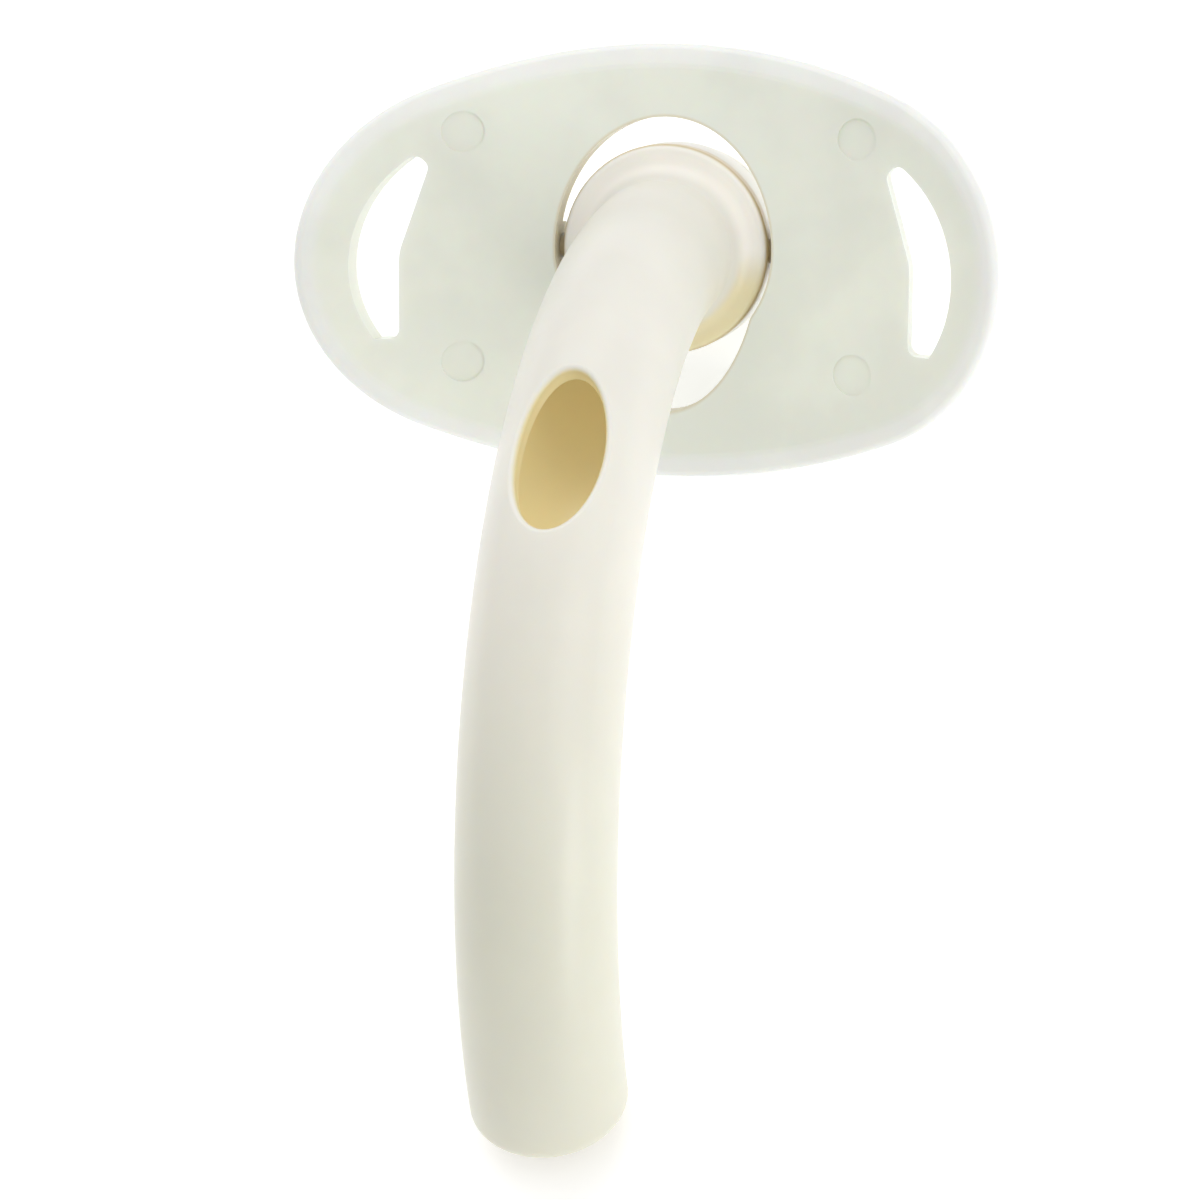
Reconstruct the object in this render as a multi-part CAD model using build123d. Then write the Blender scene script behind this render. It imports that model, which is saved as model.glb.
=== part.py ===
from build123d import *
import math
import os

# Outer cannula of a tracheostomy tube, with one window and a swivelling neck flange, in millimetres.
# It is drawn with its hub's axis along +Y, towards the patient, and its tube bending down to -Z.
# It is then tipped back, as it lies on a table: it rests on the flange's lower edge and on the rim of
# the tube's tip, with the window facing up and the tube pointing to +Y.

# Curved tube
tube_diameter = 12.2
tube_wall = 1.5
bend_radius = 43.4
bend_angle = 116.5
tip_rounding = 1.1
tip_bore_bevel = 0.3

# Window in the outer curve
window_length = 14.0
window_width = 6.6
window_angle = 49.9
window_rounding = 0.35

# Hub at the root of the tube
hub_diameter = 17.5
hub_patient_reach = 2.6
hub_rounding = 0.5
root_fillet = 2.1

# Barrel on the front of the hub, with the groove and rim that an inner cannula clips on to
barrel_diameter = 15.6
barrel_reach = 6.5
barrel_start = 2.4
clip_rim_diameter = 16.6
clip_rim_width = 1.3
clip_rim_bevel = 0.3
socket_diameter = 12.4
socket_depth = 5.0
funnel_length = 2.6
socket_mouth_bevel = 0.6

# Neck flange
flange_half_width = 29.3
flange_half_height = 18.1
flange_end_radius = 15.2
flange_drop = 1.1
flange_thickness = 2.0
flange_bend_radius = 44.2
flange_face = 2.3
rim_rounding = 0.6
rim_bevel_width = 1.8
rim_bevel_depth = 0.5
rim_bevel_blend = 1.5
hub_side_gap = 0.5

# Opening round the hub, measured from the hub's axis
opening_rise = 11.0
relief_inset = 1.1
relief_drop = 13.6
relief_blend = 1.2

# Tie slots in the wings
slot_rim_width = 4.1
slot_width = 3.7
slot_lean = 2.3
slot_drop = 0.4
slot_knee = 0.7
slot_top = 8.9
slot_bottom = 6.5
slot_corner_radius = 0.8
slot_corner_cut = 1.0
slot_knee_radius = 5.0

# Round marks left by the mould's ejector pins
ejector_mark_diameter = 3.4
ejector_mark_depth = 0.12
ejector_mark_from_end = 12.7
ejector_mark_z = 9.6

# Swivel pins on the hub and their bosses on the flange
pin_diameter = 2.0
pin_length = 2.2
pin_rise = 0.6
pin_end_bevel = 0.3
pin_clearance = 0.05
pin_end_gap = 0.3
boss_wall = 1.0
boss_cover = 0.9

# Worked out from the sizes above
tube_radius = tube_diameter / 2
bore_radius = tube_radius - tube_wall
hub_radius = hub_diameter / 2
pin_radius = pin_diameter / 2
pin_tip_x = hub_radius + pin_length
opening_half_width = hub_radius + hub_side_gap
relief_half_width = opening_half_width - relief_inset
slot_inner_x = flange_half_width - slot_rim_width - slot_width
slot_top_x = slot_inner_x - slot_lean
ejector_mark_x = flange_half_width - ejector_mark_from_end
boss_radius = pin_radius + pin_clearance + boss_wall
socket_floor_y = socket_depth - barrel_reach
flange_back_radius = flange_bend_radius + flange_thickness
flange_axis_y = flange_face + flange_bend_radius


def outward(angle):
    """The direction away from the bend's centre, at an angle along the bend."""
    turn = math.radians(angle)
    return Vector(0, math.sin(turn), math.cos(turn))


def onward(angle):
    """The direction along the tube, towards its tip, at an angle along the bend."""
    turn = math.radians(angle)
    return Vector(0, math.cos(turn), -math.sin(turn))


def on_bend(angle, radius=bend_radius):
    """A point in the tube's mid plane, at an angle along the bend and a distance from its centre."""
    return Vector(0, 0, -bend_radius) + outward(angle) * radius


def bent_rod(radius):
    """A round rod that follows the tube's bend from the root to the tip."""
    return revolve(Plane.XZ * Circle(radius), Axis((0, 0, -bend_radius), (-1, 0, 0)), bend_angle)


def disc(radius, front_y, patient_y):
    """A round disc on the hub's axis, between two places along it."""
    return extrude(Plane.XZ.offset(-patient_y) * Circle(radius), patient_y - front_y)


def crossbar(radius, half_length):
    """A round bar along the swivel's axis."""
    section = Plane.YZ.offset(-half_length) * Pos(pin_rise, 0) * Circle(radius)
    return extrude(section, 2 * half_length)


def rim_at(body, centre, radius):
    """The round edge of a body that has this centre and radius."""
    rounds = body.edges().filter_by(GeomType.CIRCLE)
    return min(rounds, key=lambda edge: (edge.arc_center - centre).length + abs(edge.radius - radius))


def hub_outside():
    """The hub's disc, barrel and clip rim, before they are hollowed."""
    barrel_radius = barrel_diameter / 2
    clip_rim_radius = clip_rim_diameter / 2
    hub = disc(hub_radius, -barrel_start, hub_patient_reach) + disc(barrel_radius, -barrel_reach, 0)
    clip_rim = disc(clip_rim_radius, -barrel_reach, clip_rim_width - barrel_reach)
    clip_rim = chamfer(clip_rim.edges().filter_by(GeomType.CIRCLE), clip_rim_bevel)
    return hub + clip_rim


def passage():
    """The way for air through the hub: a socket, then a funnel down to the tube's bore."""
    socket_radius = socket_diameter / 2
    mouth_y = -barrel_reach
    lip = socket_mouth_bevel
    points = [(0, mouth_y), (socket_radius + lip, mouth_y), (socket_radius, mouth_y + lip),
              (socket_radius, socket_floor_y), (bore_radius, socket_floor_y + funnel_length),
              (0, socket_floor_y + funnel_length)]
    return revolve(make_face(Polyline(*points, close=True)), Axis.Y, 360)


def window_cutter():
    """An oval punch, square to the outer curve, that stops at the middle of the bore."""
    plane = Plane(on_bend(window_angle), x_dir=(1, 0, 0), z_dir=outward(window_angle))
    return extrude(plane * Ellipse(window_width / 2, window_length / 2), tube_diameter)


def outer_cannula():
    """Tube, hub and swivel pins, moulded in one piece."""
    root = Vector(0, hub_patient_reach, 0)
    tip = on_bend(bend_angle)
    body = bent_rod(tube_radius) + hub_outside()
    patient_edges = body.edges().filter_by_position(Axis.Y, hub_patient_reach, hub_patient_reach)
    root_edge = patient_edges.sort_by(SortBy.LENGTH)[0]
    body = fillet(root_edge, min(root_fillet, hub_radius - tube_radius - hub_rounding))
    body = fillet(rim_at(body, root, hub_radius), hub_rounding)
    body = fillet(rim_at(body, tip, tube_radius), tip_rounding)

    pins = crossbar(pin_radius, pin_tip_x)
    pins = chamfer(pins.edges().filter_by(GeomType.CIRCLE), pin_end_bevel)
    body = body + pins - passage()
    body = body - bent_rod(bore_radius)
    body = chamfer(rim_at(body, tip, bore_radius), tip_bore_bevel)

    body = body - window_cutter()
    window_side = on_bend(window_angle, bend_radius + tube_radius) + Vector(window_width / 2, 0, 0)
    window_edge = body.edges().sort_by_distance(window_side)[0]
    return fillet(window_edge, window_rounding)


def oval(half_width, half_height, end_radius):
    """An oval of four tangent arcs."""
    end_x = half_width - end_radius
    side_radius = (end_x**2 + half_height**2 - end_radius**2) / (2 * (half_height - end_radius))
    lean = math.atan2(side_radius - half_height, end_x)
    joint_x = end_x + end_radius * math.cos(lean)
    joint_z = end_radius * math.sin(lean)
    arcs = [ThreePointArc((-joint_x, joint_z), (0, half_height), (joint_x, joint_z)),
            ThreePointArc((joint_x, joint_z), (half_width, 0), (joint_x, -joint_z)),
            ThreePointArc((joint_x, -joint_z), (0, -half_height), (-joint_x, -joint_z)),
            ThreePointArc((-joint_x, -joint_z), (-half_width, 0), (-joint_x, joint_z))]
    return make_face(Curve() + arcs)


def through_flange(sketch):
    """A prism along the hub's axis that passes right through the bent flange."""
    depth = flange_half_width
    return extrude(Plane.XZ.offset(-depth) * Pos(0, -flange_drop) * sketch, 2 * depth)


def bent_layer(near_radius, far_radius):
    """A layer of the bent plate, between two radii about the bend's axis."""
    ring = Circle(far_radius) - Circle(near_radius)
    height = 4 * flange_half_height
    return extrude(Pos(0, flange_axis_y, -height / 2) * ring, height)


def depth_below(point):
    """How deep a point lies below the patient side of the bent plate."""
    return math.hypot(point.X, point.Y - flange_axis_y) - flange_bend_radius


def rim_edges(plate, shallow, deep):
    """The long edges round the bent plate that lie between two depths."""
    long_edges = plate.edges().filter_by(lambda edge: edge.length > 2 * flange_thickness)
    return long_edges.filter_by(lambda edge: all(shallow < depth_below(edge @ spot) < deep for spot in (0, 0.5)))


def bent_plate():
    """The flange's bent oval plate: a wide shallow bevel round its patient side, and rounded edges."""
    outline = oval(flange_half_width, flange_half_height, flange_end_radius)
    plate = bent_layer(flange_bend_radius, flange_back_radius) & through_flange(outline)
    sides = plate.faces().filter_by(GeomType.CYLINDER)
    patient_side = min(sides, key=lambda side: abs(side.radius - flange_bend_radius))
    slack = 0.01
    plate = chamfer(rim_edges(plate, -slack, slack), rim_bevel_width, rim_bevel_depth, reference=patient_side)
    plate = fillet(rim_edges(plate, flange_thickness - slack, flange_thickness + slack), rim_rounding)
    plate = fillet(rim_edges(plate, slack, 2 * rim_bevel_depth), rim_rounding)
    return fillet(rim_edges(plate, -slack, slack), rim_bevel_blend)


def slot_outline():
    """One tie slot: straight towards the hub, and curved like the flange's rim on the outside."""
    outer_radius = flange_end_radius - slot_rim_width
    outer_edge = Pos(flange_half_width - flange_end_radius, -slot_drop) * Circle(outer_radius)
    field = Polygon((slot_inner_x, -slot_bottom), (flange_half_width, -slot_bottom),
                    (flange_half_width, slot_top), (slot_top_x + slot_corner_cut, slot_top),
                    (slot_top_x, slot_top - slot_corner_cut), (slot_inner_x, slot_knee), align=None)
    slot = outer_edge & field
    knee = slot.vertices().sort_by_distance((slot_inner_x, slot_knee, 0))[0]
    slot = fillet(knee, slot_knee_radius)
    ends = slot.vertices().filter_by_position(Axis.Y, slot_top - slot_corner_cut, slot_top)
    ends = ends + slot.vertices().filter_by_position(Axis.Y, -slot_bottom, -slot_bottom)
    return fillet(ends, slot_corner_radius)


def opening_cutter():
    """A punch for the opening: a round hole, drawn out to an oval above and to a narrower oval below."""
    half = Rectangle(4 * opening_half_width, 4 * relief_drop, align=(Align.CENTER, Align.MIN))
    above = Ellipse(opening_half_width, opening_rise) & half
    below = (Circle(opening_half_width) + Ellipse(relief_half_width, relief_drop)) & mirror(half, Plane.XZ)
    cutter = through_flange(Pos(0, flange_drop) * (above + below))
    corners = cutter.edges().filter_by(Axis.Y).filter_by(lambda edge: edge.center().Z < -relief_blend)
    return fillet(corners, relief_blend)


def ejector_marks():
    """Four shallow round marks that follow the patient side of the bent plate."""
    layer = bent_layer(flange_bend_radius - ejector_mark_depth, flange_bend_radius + ejector_mark_depth)
    spots = [(side * ejector_mark_x, flange_drop + end * ejector_mark_z) for side in (-1, 1) for end in (-1, 1)]
    return [layer & through_flange(Pos(*spot) * Circle(ejector_mark_diameter / 2)) for spot in spots]


def neck_flange():
    """Bent oval plate with a rounded rim, two tie slots, and an opening that lets the hub swivel."""
    slot = through_flange(slot_outline())
    plate = bent_plate() - ejector_marks() - slot - mirror(slot, Plane.YZ)

    hole_reach = pin_tip_x + pin_end_gap
    lugs = crossbar(boss_radius, hole_reach + boss_cover)
    lugs = fillet(lugs.edges().filter_by(GeomType.CIRCLE), boss_cover)
    plate = plate + lugs - opening_cutter()
    return plate - crossbar(pin_radius + pin_clearance, hole_reach)


def resting_pitch():
    """The angle that brings the flange's lower front edge and the rim of the tube's tip to one level."""
    edge = Vector(0, flange_face - flange_thickness + rim_rounding,
                  rim_rounding - flange_drop - flange_half_height)
    rim = on_bend(bend_angle, bend_radius - tube_radius + tip_rounding) - onward(bend_angle) * tip_rounding
    across = edge.Y - rim.Y
    down = edge.Z - rim.Z
    level = math.acos((rim_rounding - tip_rounding) / math.hypot(across, down))
    return math.degrees(math.atan2(across, down) + level)


def lay_down(shapes):
    """Tips the pieces back together and sets them on the table, with the origin below their middle."""
    tipped = {name: Rot(resting_pitch(), 0, 0) * shape for name, shape in shapes.items()}
    box = Compound(children=list(tipped.values())).bounding_box()
    middle = box.center()
    return Pos(-middle.X, -middle.Y, -box.min.Z) * Rot(resting_pitch(), 0, 0)


upright = {"outer_cannula": outer_cannula(), "neck_flange": neck_flange()}
rest = lay_down(upright)
parts = {name: rest * shape for name, shape in upright.items()}

os.makedirs("parts", exist_ok=True)
for name, shape in parts.items():
    export_step(shape, f"parts/{name}.step")
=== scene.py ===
"""Looks of a tracheostomy tube with a window: satin ivory plastic, a pale table, soft light, the camera."""

import logging
import math
from dataclasses import dataclass, field
from enum import Enum
from typing import Any

import bpy
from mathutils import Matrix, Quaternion, Vector

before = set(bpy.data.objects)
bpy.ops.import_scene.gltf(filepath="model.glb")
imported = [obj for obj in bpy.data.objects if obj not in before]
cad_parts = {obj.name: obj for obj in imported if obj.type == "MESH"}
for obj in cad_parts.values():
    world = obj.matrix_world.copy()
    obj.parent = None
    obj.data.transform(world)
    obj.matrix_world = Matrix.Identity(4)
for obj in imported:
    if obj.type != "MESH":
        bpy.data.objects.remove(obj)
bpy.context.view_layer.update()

log = logging.getLogger("tracheostomy_tube")

MM = 0.001
NODE_STEP = 190
Colour = tuple[float, float, float]
Place = tuple[float, float, float]
Range = tuple[float, float]


class Kind(Enum):
    """What a socket of a node group carries."""

    VALUE = "NodeSocketFloat"
    VECTOR = "NodeSocketVector"


class Body(Enum):
    """The two bodies that move against each other."""

    CANNULA = "cannula"
    FLANGE = "flange"


@dataclass
class Graph:
    """Adds nodes to one node tree, from left to right."""

    tree: bpy.types.NodeTree
    column: int = 0

    def add(self, kind: str, **settings: Any) -> bpy.types.Node:
        """Adds a node.

        Args:
            kind: the node's type name.
            settings: properties of the node, by name.

        Returns:
            The new node.
        """
        node = self.tree.nodes.new(kind)
        node.location = (self.column * NODE_STEP, 0)
        self.column += 1
        for name, value in settings.items():
            setattr(node, name, value)
        return node

    def feed(self, socket: bpy.types.NodeSocket, source: Any) -> None:
        """Gives a socket its link or its value.

        Args:
            socket: the input socket.
            source: an output socket, a number, or a tuple of numbers.
        """
        if isinstance(source, bpy.types.NodeSocket):
            self.tree.links.new(source, socket)
        elif socket.type == "RGBA" and len(source) == 3:
            socket.default_value = (*source, 1.0)
        else:
            socket.default_value = source

    def calc(self, operation: str, *values: Any) -> bpy.types.NodeSocket:
        """Adds a Math node.

        Args:
            operation: the operation's name.
            values: its inputs, as sockets or numbers.

        Returns:
            The node's result.
        """
        node = self.add("ShaderNodeMath", operation=operation)
        for socket, value in zip(node.inputs, values):
            self.feed(socket, value)
        return node.outputs[0]

    def ramp(self, value: Any, low: float, high: float, start: float = 0.0,
             end: float = 1.0) -> bpy.types.NodeSocket:
        """Turns a range of a value smoothly into another range, and stays flat outside it.

        Args:
            value: the value, as a socket.
            low: where the result is start.
            high: where the result is end.
            start: the result at low.
            end: the result at high.

        Returns:
            The smoothed value.
        """
        node = self.add("ShaderNodeMapRange", interpolation_type="SMOOTHSTEP")
        for name, source in zip(("Value", "From Min", "From Max", "To Min", "To Max"),
                                (value, low, high, start, end)):
            self.feed(node.inputs[name], source)
        return node.outputs["Result"]

    def blend(self, share: Any, first: Any, second: Any) -> bpy.types.NodeSocket:
        """Mixes two colours.

        Args:
            share: the second colour's share, from 0 to 1.
            first: the colour at share 0.
            second: the colour at share 1.

        Returns:
            The mixed colour.
        """
        node = self.add("ShaderNodeMix", data_type="RGBA", blend_type="MIX")
        colours = [socket for socket in node.inputs if socket.type == "RGBA"]
        self.feed(node.inputs[0], share)
        self.feed(colours[0], first)
        self.feed(colours[1], second)
        return next(socket for socket in node.outputs if socket.type == "RGBA")

    def shade(self, colour: Any, strength: Any) -> bpy.types.NodeSocket:
        """Makes a colour lighter or darker.

        Args:
            colour: the colour.
            strength: what it is multiplied by.

        Returns:
            The new colour.
        """
        node = self.add("ShaderNodeVectorMath", operation="SCALE")
        self.feed(node.inputs[0], colour)
        self.feed(node.inputs["Scale"], strength)
        return node.outputs["Vector"]

    def noise(self, place: Any, scale: float, detail: float = 2.0) -> bpy.types.NodeSocket:
        """Adds an even cloudy pattern, from 0 to 1.

        Args:
            place: the coordinates, as a socket.
            scale: how many clouds fit in a metre.
            detail: how many finer layers it has.

        Returns:
            The pattern's value.
        """
        node = self.add("ShaderNodeTexNoise", noise_dimensions="3D")
        self.feed(node.inputs["Vector"], place)
        node.inputs["Scale"].default_value = scale
        node.inputs["Detail"].default_value = detail
        return node.outputs["Fac"]

    def length(self, first: Any, second: Any) -> bpy.types.NodeSocket:
        """Gives the length of a step of two parts at right angles.

        Args:
            first: one part of the step.
            second: the other part.

        Returns:
            The length, as a socket.
        """
        square = self.calc("MULTIPLY", first, first)
        return self.calc("SQRT", self.calc("MULTIPLY_ADD", second, second, square))

    def put_out(self, **sources: Any) -> None:
        """Ends a node group.

        Args:
            sources: what the group puts out, by name.
        """
        node = self.add("NodeGroupOutput")
        for name, source in sources.items():
            self.feed(node.inputs[name], source)

    def split(self, place: Any) -> tuple[bpy.types.NodeSocket, ...]:
        """Gives the three coordinates of a place, each as a socket."""
        node = self.add("ShaderNodeSeparateXYZ")
        self.feed(node.inputs[0], place)
        return tuple(node.outputs)

    def place_group(self, group: bpy.types.NodeTree, **sources: Any) -> bpy.types.Node:
        """Adds a node group.

        Args:
            group: the group's tree.
            sources: what goes into its inputs, by name.

        Returns:
            The group's node.
        """
        node = self.add("ShaderNodeGroup", node_tree=group)
        for name, source in sources.items():
            self.feed(node.inputs[name], source)
        return node


def new_group(name: str, inputs: dict[str, Kind], outputs: dict[str, Kind]) -> Graph:
    """Makes an empty node group with named sockets.

    Args:
        name: the group's name.
        inputs: what each input carries, by name.
        outputs: what each output carries, by name.

    Returns:
        The graph of the new group.
    """
    tree = bpy.data.node_groups.new(name, "ShaderNodeTree")
    for socket, kind in inputs.items():
        tree.interface.new_socket(socket, in_out="INPUT", socket_type=kind.value)
    for socket, kind in outputs.items():
        tree.interface.new_socket(socket, in_out="OUTPUT", socket_type=kind.value)
    return Graph(tree)


def beyond(edge: float, steps: Range) -> Range:
    """Gives the two places that lie the given steps beyond an edge."""
    return edge + steps[0], edge + steps[1]


@dataclass(frozen=True)
class RestingPose:
    """How the part lies: tipped back from upright about X, then shifted, in metres."""

    tip_back: float = math.radians(50.872)
    shift: Place = (0.0, -32.8176 * MM, 11.6456 * MM)

    def upright_group(self) -> bpy.types.NodeTree:
        """Makes the group that turns a place on the resting part into its place on the upright part.

        Returns:
            The group, with the upright place as its output.
        """
        graph = new_group("upright_place", {}, {"Place": Kind.VECTOR})
        here = graph.add("ShaderNodeTexCoord")
        turn = graph.add("ShaderNodeMapping", vector_type="TEXTURE")
        graph.feed(turn.inputs["Vector"], here.outputs["Object"])
        turn.inputs["Location"].default_value = self.shift
        turn.inputs["Rotation"].default_value = (self.tip_back, 0.0, 0.0)
        graph.put_out(Place=turn.outputs["Vector"])
        return graph.tree


@dataclass(frozen=True)
class MouldedSkin:
    """The skin of moulded plastic: faint clouds in the colour, a fine orange peel and small flow ripples."""

    cloud_size: float = 9 * MM
    fine_size: float = 1.6 * MM
    peel_size: float = 0.55 * MM
    ripple_size: float = 4.5 * MM
    cloud_range: Range = (0.3, 0.7)
    tint_shares: Range = (0.75, 0.25)
    matting_shares: Range = (0.4, 0.6)
    peel_share: float = 0.25

    def group(self) -> bpy.types.NodeTree:
        """Makes the skin's node group.

        Returns:
            The group, with a tint mask, a roughness offset and a height as outputs.
        """
        graph = new_group("moulded_skin", {"Place": Kind.VECTOR},
                          {"Tint": Kind.VALUE, "Matting": Kind.VALUE, "Height": Kind.VALUE})
        place = graph.add("NodeGroupInput").outputs["Place"]
        clouds = graph.noise(place, 1 / self.cloud_size, detail=3.0)
        specks = graph.noise(place, 1 / self.fine_size, detail=2.0)
        peel = graph.noise(place, 1 / self.peel_size, detail=1.0)
        ripples = graph.noise(place, 1 / self.ripple_size, detail=1.0)
        tint = graph.calc("MULTIPLY_ADD", graph.ramp(clouds, *self.cloud_range), self.tint_shares[0],
                          graph.calc("MULTIPLY", specks, self.tint_shares[1]))
        matting = graph.calc("MULTIPLY_ADD", specks, self.matting_shares[1],
                             graph.calc("MULTIPLY", clouds, self.matting_shares[0]))
        height = graph.calc("MULTIPLY_ADD", peel, self.peel_share, ripples)
        graph.put_out(Tint=tint, Matting=matting, Height=height)
        return graph.tree


@dataclass(frozen=True)
class IvoryPlastic:
    """A satin ivory plastic that scatters a little light under its skin, with tints by place on the part that
    paint shade and light, and a painted glow.
    """

    name: str
    base: Colour
    cloud: float
    tints: tuple[tuple[str, Colour], ...]
    # the colour and strength of a painted glow
    through: Colour = (0.0, 0.0, 0.0)
    lit_through: float = 0.0
    roughness: float = 0.3
    matting: float = 0.1
    relief: float = 0.02 * MM
    depth: float = 2.0 * MM
    glow: float = 0.4
    spread: Colour = (1.0, 0.75, 0.45)
    ior: float = 1.46

    def material(self, skin: bpy.types.NodeTree, upright: bpy.types.NodeTree,
                 mask: bpy.types.NodeTree) -> bpy.types.Material:
        """Makes the material.

        Args:
            skin: the group of the moulded skin.
            upright: the group that gives the upright place.
            mask: the group that says where each painted tint of shade or light lies, and where the painted
                glow lies.

        Returns:
            The material.
        """
        material = bpy.data.materials.new(self.name)
        material.use_nodes = True
        material.node_tree.nodes.clear()
        graph = Graph(material.node_tree)
        place = graph.place_group(upright).outputs["Place"]
        grain = graph.place_group(skin, Place=place).outputs
        masks = graph.place_group(mask, Place=place).outputs
        colour: Any = self.base
        for name, tint in self.tints:
            colour = graph.blend(masks[name], colour, tint)
        colour = graph.shade(colour, graph.ramp(grain["Tint"], 0.0, 1.0, 1.0, 1.0 - self.cloud))
        rough = graph.calc("MULTIPLY_ADD", grain["Matting"], self.matting, self.roughness - self.matting / 2)
        bump = graph.add("ShaderNodeBump")
        bump.inputs["Strength"].default_value = 1.0
        bump.inputs["Distance"].default_value = self.relief
        graph.feed(bump.inputs["Height"], grain["Height"])
        shader = graph.add("ShaderNodeBsdfPrincipled")
        graph.feed(shader.inputs["Base Color"], colour)
        graph.feed(shader.inputs["Roughness"], rough)
        graph.feed(shader.inputs["Normal"], bump.outputs["Normal"])
        # painted glow: an emission where the mask says, which stands in for light
        if self.lit_through:
            lit = graph.blend(masks["Lit"], (0.0, 0.0, 0.0), self.through)
            graph.feed(shader.inputs["Emission Color"], lit)
            shader.inputs["Emission Strength"].default_value = self.lit_through
        shader.inputs["IOR"].default_value = self.ior
        shader.inputs["Subsurface Weight"].default_value = self.glow
        shader.inputs["Subsurface Radius"].default_value = self.spread
        shader.inputs["Subsurface Scale"].default_value = self.depth
        out = graph.add("ShaderNodeOutputMaterial")
        graph.feed(out.inputs["Surface"], shader.outputs["BSDF"])
        return material


@dataclass(frozen=True)
class OuterCannula:
    """The bent tube with its window, its hub and its barrel.

    Reaches run along the hub's axis and heights from it, both on the upright part.
    """

    node: str = "outer_cannula"
    body: Body = Body.CANNULA
    bend_radius: float = 43.4 * MM
    bore_radius: float = 4.6 * MM
    tube_radius: float = 6.1 * MM
    hub_radius: float = 8.75 * MM
    hub_reach: float = 2.6 * MM
    socket_radius: float = 6.2 * MM
    window_heights: Range = (-13.0 * MM, -27.0 * MM)
    unlit_heights: Range = (-38.0 * MM, -30.0 * MM)
    cove_heights: Range = (-3.5 * MM, 0.5 * MM)
    tail_heights: Range = (-8.0 * MM, -50.0 * MM)
    root_fade: Range = (-0.5 * MM, 0.5 * MM)
    skin_fade: Range = (-0.45 * MM, -0.03 * MM)
    bore_margin: float = 0.15 * MM
    wall_margin: float = 0.2 * MM
    socket_fade: Range = (0.1 * MM, 0.5 * MM)
    seam_fade: Range = (-0.25 * MM, -0.02 * MM)
    seam_end: Range = (0.3 * MM, -0.3 * MM)
    seam_start: Range = (-2.0 * MM, -1.0 * MM)
    flare_fade: Range = (0.1 * MM, 0.9 * MM)
    flare_start: Range = (-1.0 * MM, 0.0)
    amber_low: float = 0.68
    lit_high: float = 0.42
    seam_share: float = 0.85
    # its tints paint shade towards the tip, light on top of the root's flare, and shade in the bore, the
    # socket, under the root and in the gap at the hub's side; then the painted glow's colour and strength
    finish: IvoryPlastic = IvoryPlastic("cannula_ivory", (0.797, 0.784, 0.722), 0.03,
                                        (("Tail", (0.72, 0.715, 0.604)), ("Pale", (0.905, 0.88, 0.81)),
                                         ("Honey", (0.80, 0.72, 0.46)), ("Seam", (0.60, 0.48, 0.26))),
                                        (0.40, 0.365, 0.22), 0.62)

    def mask_group(self) -> bpy.types.NodeTree:
        """Makes the masks of the painted shade towards the tip, the painted light on top of the root's flare,
        the painted shade in the bore, socket and under the root, the painted shade in the gap at the hub's
        side and the painted glow in the bore.

        Returns:
            The group, with the masks as its outputs.
        """
        graph = new_group("places_on_the_cannula", {"Place": Kind.VECTOR},
                          {name: Kind.VALUE for name in ("Tail", "Pale", "Honey", "Seam", "Lit")})
        x, y, z = graph.split(graph.add("NodeGroupInput").outputs["Place"])
        ring = graph.length(y, graph.calc("ADD", z, self.bend_radius))
        from_line = graph.length(graph.calc("SUBTRACT", ring, self.bend_radius), x)
        from_axis = graph.length(x, z)
        in_tube = graph.ramp(y, *self.root_fade)
        in_hub = graph.calc("SUBTRACT", 1.0, in_tube)
        inside = graph.ramp(from_line, *beyond(self.tube_radius, self.skin_fade), 1.0, 0.0)
        inside = graph.calc("MULTIPLY", inside, in_tube)
        # painted shade: the inside of the bore is warm and darker, most at the window's top
        amber = graph.calc("MULTIPLY", inside, graph.ramp(z, *self.window_heights, 1.0, self.amber_low))
        bore = graph.ramp(from_line, self.bore_radius + self.bore_margin, self.tube_radius - self.wall_margin,
                          1.0, 0.0)
        bore = graph.calc("MULTIPLY", bore, in_tube)
        # painted glow: a warm emission in the bore, stronger lower in the window and fading out below it
        lit = graph.calc("MULTIPLY", bore, graph.ramp(z, *self.window_heights, self.lit_high, 1.0))
        lit = graph.calc("MULTIPLY", lit, graph.ramp(z, *self.unlit_heights))
        # painted shade: the socket inside the hub is warm and darker
        socket = graph.ramp(from_axis, *beyond(self.socket_radius, self.socket_fade), 1.0, 0.0)
        socket = graph.calc("MULTIPLY", socket, in_hub)
        # painted shade: a dark warm line on the hub's side where it sits in the flange's opening
        wall = graph.ramp(from_axis, *beyond(self.hub_radius, self.seam_fade), 0.0, self.seam_share)
        for fade in (self.seam_end, self.seam_start):
            wall = graph.calc("MULTIPLY", wall, graph.ramp(y, *beyond(self.hub_reach, fade)))
        flare = graph.ramp(from_line, *beyond(self.tube_radius, self.flare_fade))
        flare = graph.calc("MULTIPLY", flare, graph.ramp(y, *beyond(self.hub_reach, self.flare_start)))
        low, high = self.cove_heights
        # painted shade: the underside of the root's flare is warm and darker
        cove = graph.calc("MULTIPLY", flare, graph.ramp(z, high, low))
        # painted light: the top of the root's flare is given a paler colour
        collar = graph.calc("MULTIPLY", flare, graph.ramp(z, low, high))
        # painted shade in the bore, the socket and under the root's flare
        honey = graph.calc("MAXIMUM", graph.calc("MAXIMUM", amber, socket), cove)
        # painted shade: the tube turns darker and yellower towards the tip
        tail = graph.ramp(z, *self.tail_heights)
        graph.put_out(Tail=tail, Pale=collar, Honey=honey, Seam=wall, Lit=lit)
        return graph.tree


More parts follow.
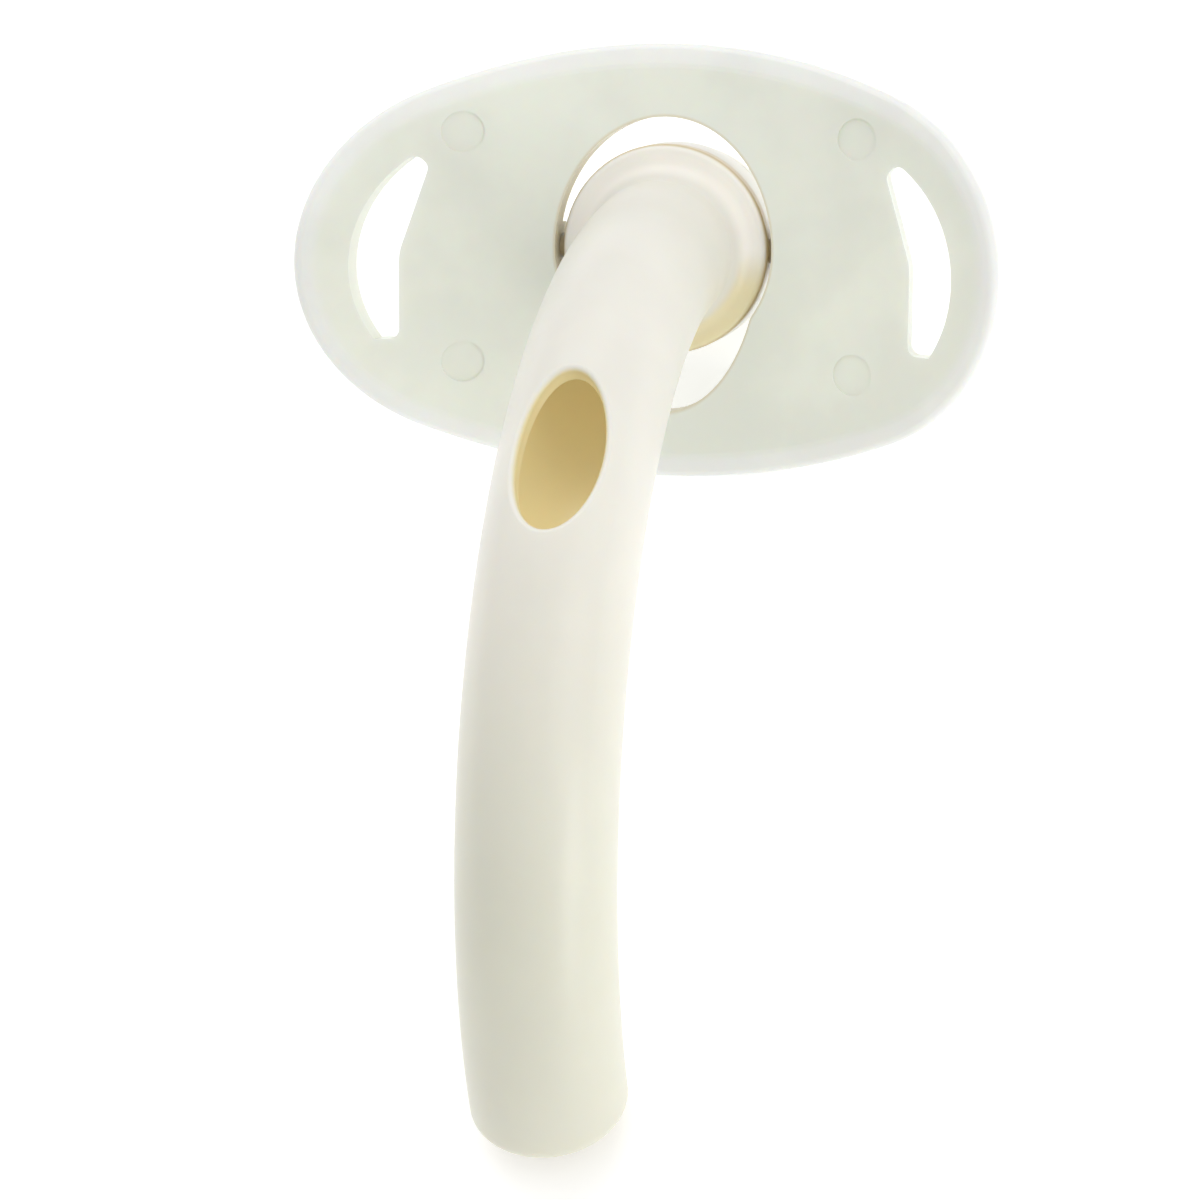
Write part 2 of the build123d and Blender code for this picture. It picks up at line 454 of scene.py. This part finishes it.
@dataclass(frozen=True)
class NeckFlange:
    """The bent oval plate with its bevelled rim, slots, opening and bosses."""

    node: str = "neck_flange"
    body: Body = Body.FLANGE
    opening_half_width: float = 9.25 * MM
    opening_rise: float = 11.0 * MM
    relief_half_width: float = 8.15 * MM
    relief_drop: float = 13.6 * MM
    drop: float = 1.1 * MM
    half_width: float = 29.3 * MM
    half_height: float = 18.1 * MM
    end_radius: float = 15.2 * MM
    rim_width: float = 1.8 * MM
    rim_fade: Range = (0.6, 1.3)
    wall_fade: Range = (1.002, 1.03)
    wall_share: float = 0.5
    # its tints paint light on the rim band and shade at the opening's edge
    finish: IvoryPlastic = IvoryPlastic("flange_ivory", (0.818, 0.846, 0.77), 0.06,
                                        (("Pale", (0.84, 0.858, 0.838)), ("Honey", (0.62, 0.50, 0.27))))

    def mask_group(self) -> bpy.types.NodeTree:
        """Makes the masks of the painted shade at the opening's edge and of the painted light on the rim.

        Returns:
            The group, with the masks as its outputs.
        """
        graph = new_group("places_on_the_flange", {"Place": Kind.VECTOR},
                          {"Pale": Kind.VALUE, "Honey": Kind.VALUE})
        x, _, z = graph.split(graph.add("NodeGroupInput").outputs["Place"])
        above = self.oval(graph, x, z, self.opening_half_width, self.opening_rise)
        hole = self.oval(graph, x, z, self.opening_half_width, self.opening_half_width)
        relief = self.oval(graph, x, z, self.relief_half_width, self.relief_drop)
        below = graph.calc("MINIMUM", hole, relief)
        is_above = graph.calc("GREATER_THAN", z, 0.0)
        opening = graph.calc("MULTIPLY_ADD", is_above, graph.calc("SUBTRACT", above, below), below)
        z = graph.calc("ADD", z, self.drop)
        right, up = graph.calc("ABSOLUTE", x), graph.calc("ABSOLUTE", z)
        end_x = self.half_width - self.end_radius
        side_radius = ((end_x**2 + self.half_height**2 - self.end_radius**2)
                       / (2 * (self.half_height - self.end_radius)))
        sink = side_radius - self.half_height
        sunk = graph.calc("ADD", up, sink)
        from_end = graph.length(graph.calc("SUBTRACT", right, end_x), up)
        from_end = graph.calc("SUBTRACT", self.end_radius, from_end)
        from_side = graph.calc("SUBTRACT", side_radius, graph.length(right, sunk))
        side_of_line = graph.calc("MULTIPLY_ADD", right, sink, graph.calc("MULTIPLY", sunk, -end_x))
        at_end = graph.calc("GREATER_THAN", side_of_line, 0.0)
        inward = graph.calc("MULTIPLY_ADD", at_end, graph.calc("SUBTRACT", from_end, from_side), from_side)
        # painted light: a paler band along the plate's outline, fading inwards
        start, end = (self.rim_width * share for share in self.rim_fade)
        # painted shade: a dark warm colour at the opening's edge
        graph.put_out(Pale=graph.ramp(inward, start, end, 1.0, 0.0),
                      Honey=graph.ramp(opening, *self.wall_fade, self.wall_share, 0.0))
        return graph.tree

    def oval(self, graph: Graph, x: Any, z: Any, half_width: float,
             half_height: float) -> bpy.types.NodeSocket:
        """Gives how far out a place lies on an oval about the hub's axis, 1 on its edge.

        Args:
            graph: the mask's graph.
            x: the place across.
            z: the place in height.
            half_width: the oval's half width.
            half_height: the oval's half height.

        Returns:
            The distance, as a share of the oval's own.
        """
        return graph.length(graph.calc("DIVIDE", x, half_width), graph.calc("DIVIDE", z, half_height))


@dataclass(frozen=True)
class Table:
    """A plain pale table top, far wider than the part."""

    radius: float = 3.0
    colour: Colour = (0.93, 0.93, 0.93)
    glow: float = 0.34
    roughness: float = 0.9
    specular: float = 0.1
    corners: int = 96

    def build(self) -> bpy.types.Object:
        """Makes the table top.

        Returns:
            The table's object.
        """
        bpy.ops.object.select_all(action="DESELECT")
        bpy.ops.mesh.primitive_circle_add(vertices=self.corners, radius=self.radius, fill_type="NGON")
        table = bpy.context.active_object
        table.name = "table"
        table.data.materials.append(self.material())
        return table

    def material(self) -> bpy.types.Material:
        """Makes the table's matt finish.

        Returns:
            The material.
        """
        material = bpy.data.materials.new("pale_table")
        material.use_nodes = True
        shader = material.node_tree.nodes["Principled BSDF"]
        shader.inputs["Base Color"].default_value = (*self.colour, 1.0)
        shader.inputs["Roughness"].default_value = self.roughness
        shader.inputs["Specular IOR Level"].default_value = self.specular
        shader.inputs["Emission Color"].default_value = (*self.colour, 1.0)
        shader.inputs["Emission Strength"].default_value = self.glow
        return material


@dataclass(frozen=True)
class Softbox:
    """One square area light that faces the part."""

    name: str
    azimuth: float
    elevation: float
    distance: float
    side: float
    power: float
    colour: Colour = (1.0, 1.0, 1.0)

    def build(self, aim: Vector) -> bpy.types.Object:
        """Makes the light.

        Args:
            aim: the place that the light faces.

        Returns:
            The light's object.
        """
        back = direction(self.azimuth, self.elevation)
        bpy.ops.object.light_add(type="AREA")
        light = bpy.context.active_object
        light.name = self.name
        light.data.shape = "SQUARE"
        light.data.size = self.side
        light.data.energy = self.power
        light.data.color = self.colour
        light.location = aim + back * self.distance
        light.rotation_mode = "QUATERNION"
        light.rotation_quaternion = (-back).to_track_quat("-Z", "Y")
        return light


@dataclass(frozen=True)
class Room:
    """The light all round, and the softboxes."""

    brightness: float = 0.65
    colour: Colour = (1.0, 1.0, 1.0)
    boxes: tuple[Softbox, ...] = (
        Softbox("right_low_softbox", 241.0, 8.0, 0.6, 0.3, 0.76),
        Softbox("right_high_softbox", 260.0, 45.0, 0.6, 0.4, 0.56),
        Softbox("back_high_softbox", 10.0, 52.0, 0.6, 0.5, 0.95),
        Softbox("back_left_softbox", 50.0, 40.0, 0.6, 0.5, 0.45),
    )

    def build(self, aim: Vector) -> None:
        """Makes the world and the softboxes.

        Args:
            aim: the place that the softboxes face.
        """
        world = bpy.data.worlds.new("pale_room")
        bpy.context.scene.world = world
        world.use_nodes = True
        background = world.node_tree.nodes["Background"]
        background.inputs["Color"].default_value = (*self.colour, 1.0)
        background.inputs["Strength"].default_value = self.brightness
        for box in self.boxes:
            box.build(aim)


@dataclass(frozen=True)
class PhotoCamera:
    """The camera at the photograph's viewing angle: a near view, from above the tip."""

    aim: Place = (2.222 * MM, -1.925 * MM, 5.851 * MM)
    azimuth: float = 207.050
    elevation: float = 58.949
    roll: float = 20.601
    distance: float = 281.782 * MM
    sensor: float = 36.0
    lens: float = 103.522
    near: float = 10 * MM
    far: float = 20.0

    def build(self) -> bpy.types.Object:
        """Makes the camera and gives it to the scene.

        Returns:
            The camera's object.
        """
        back = direction(self.azimuth, self.elevation)
        data = bpy.data.cameras.new("photo_camera")
        data.sensor_fit = "HORIZONTAL"
        data.sensor_width = self.sensor
        data.lens = self.lens
        data.clip_start = self.near
        data.clip_end = self.far
        camera = bpy.data.objects.new("photo_camera", data)
        bpy.context.scene.collection.objects.link(camera)
        camera.location = Vector(self.aim) + back * self.distance
        camera.rotation_mode = "QUATERNION"
        level = (-back).to_track_quat("-Z", "Y")
        camera.rotation_quaternion = Quaternion(back, -math.radians(self.roll)) @ level
        bpy.context.scene.camera = camera
        return camera


def direction(azimuth: float, elevation: float) -> Vector:
    """The way from the part to a viewer.

    Args:
        azimuth: 0 stands in front of the hub and looks along +Y, in degrees.
        elevation: above the horizon, in degrees.

    Returns:
        The direction, one long.
    """
    turn, rise = math.radians(azimuth), math.radians(elevation)
    return Vector((math.sin(turn) * math.cos(rise), -math.cos(turn) * math.cos(rise), math.sin(rise)))


@dataclass
class Workshop:
    """Dresses the two moulded pieces with the groups that they share."""

    pose: RestingPose = field(default_factory=RestingPose)
    skin: MouldedSkin = field(default_factory=MouldedSkin)

    def dress(self, pieces: list[OuterCannula | NeckFlange]) -> None:
        """Gives each piece its finish.

        Args:
            pieces: the pieces, each the name of its CAD node and its finish.
        """
        upright = self.pose.upright_group()
        skin = self.skin.group()
        for piece in pieces:
            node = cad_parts[piece.node]
            node.data.materials.clear()
            node.data.materials.append(piece.finish.material(skin, upright, piece.mask_group()))
            log.info("%s dressed in %s, on body %s", piece.node, piece.finish.name, piece.body.value)


def main() -> None:
    """Builds the scene."""
    logging.basicConfig(level=logging.INFO, format="%(name)s: %(message)s")
    Workshop().dress([OuterCannula(), NeckFlange()])
    Table().build()
    camera = PhotoCamera()
    Room().build(Vector(camera.aim))
    camera.build()
    bpy.context.scene.view_settings.view_transform = "Standard"


if __name__ == "__main__":
    main()
